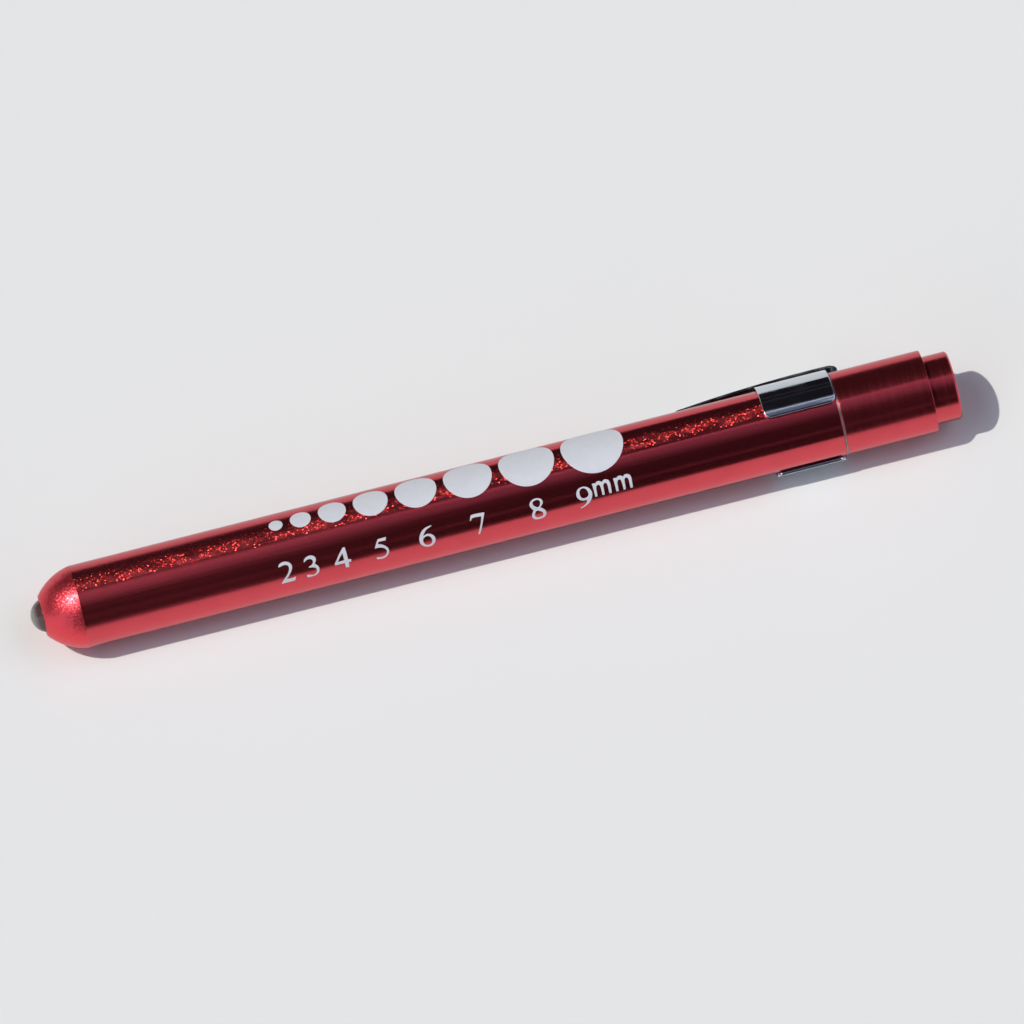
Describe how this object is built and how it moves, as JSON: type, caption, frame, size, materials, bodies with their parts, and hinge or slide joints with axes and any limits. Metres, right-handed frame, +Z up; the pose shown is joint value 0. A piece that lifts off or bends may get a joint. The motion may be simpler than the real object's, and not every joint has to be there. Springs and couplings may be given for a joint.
{
  "type": "penlight",
  "caption": "Slim red anodised aluminium diagnostic penlight with a clear LED, a printed pupil gauge, a sprung pocket clip, a screw-off tail cap and a push button",
  "frame": {"origin": "centre of the flat ring at the nose, on the barrel's axis", "axes": "+X along the barrel's axis from the nose to the tail, +Z up with the penlight lying on its clip, +Y to the back, the clip's side"},
  "size_m": [0.1355, 0.0151, 0.0132],
  "materials": {
    "red_anodised": "red anodised, satin gloss with a fine grain",
    "white_ink": "printed ink",
    "clear_epoxy": "clear cast epoxy",
    "phosphor": "matt",
    "tinned_steel": "tinned",
    "black_plastic": "moulded",
    "white_plastic": "moulded",
    "contact_brass": "bright",
    "cell_steel": "nickel plated",
    "cell_mix": "pressed powder",
    "cell_film": "shrunk film",
    "spring_steel": "drawn wire",
    "bare_aluminium": "turned, bare",
    "clip_plating": "bright plated spring steel"
  },
  "bodies": {
    "body": {"barrel": "red_anodised", "gauge_discs": "white_ink", "led_lens": "clear_epoxy", "led_die": "phosphor", "cathode_lead": "tinned_steel", "anode_lead": "tinned_steel", "led_holder": "black_plastic", "front_contact": "contact_brass", "front_cell_can": "cell_steel", "front_cell_core": "cell_mix", "front_cell_base": "cell_steel", "front_cell_jacket": "cell_film", "rear_cell_can": "cell_steel", "rear_cell_core": "cell_mix", "rear_cell_base": "cell_steel", "rear_cell_jacket": "cell_film"},
    "spring": {"battery_spring": "spring_steel"},
    "tail": {"threaded_ferrule": "bare_aluminium", "tail_cap": "red_anodised", "switch_carrier": "white_plastic", "spring_terminal": "contact_brass", "contact_washer": "contact_brass", "return_spring": "spring_steel"},
    "button": {"push_button": "red_anodised", "plunger": "contact_brass"},
    "clip": {"clip_band": "clip_plating"},
    "arm": {"clip_arm": "clip_plating"}
  },
  "joints": [
    {"name": "tail_travel", "type": "slide", "parent": "body", "child": "spring", "axis": [1, 0, 0], "range_m": [0, 0.005]},
    {"name": "tail_turn", "type": "hinge", "parent": "spring", "child": "tail", "pos_m": [0.1165, 0, 0], "axis": [1, 0, 0], "range_deg": [0, 1800]},
    {"name": "button_press", "type": "slide", "parent": "tail", "child": "button", "axis": [-1, 0, 0], "range_m": [0, 0.0016], "stiffness_N_per_m": 1500, "deforming": ["return_spring"]},
    {"name": "clip_turn", "type": "hinge", "parent": "body", "child": "clip", "pos_m": [0.1113, 0, 0], "axis": [1, 0, 0], "continuous": true},
    {"name": "clip_flex", "type": "hinge", "parent": "clip", "child": "arm", "pos_m": [0.1173, 0.00645, -0.00358], "axis": [0, -0.4848, -0.8746], "range_deg": [0, 6], "stiffness_Nm_per_rad": 0.8}
  ],
  "couplings": [
    {"joint": "tail_travel", "follows": "tail_turn", "m_per_rad": 0.00015915}
  ]
}
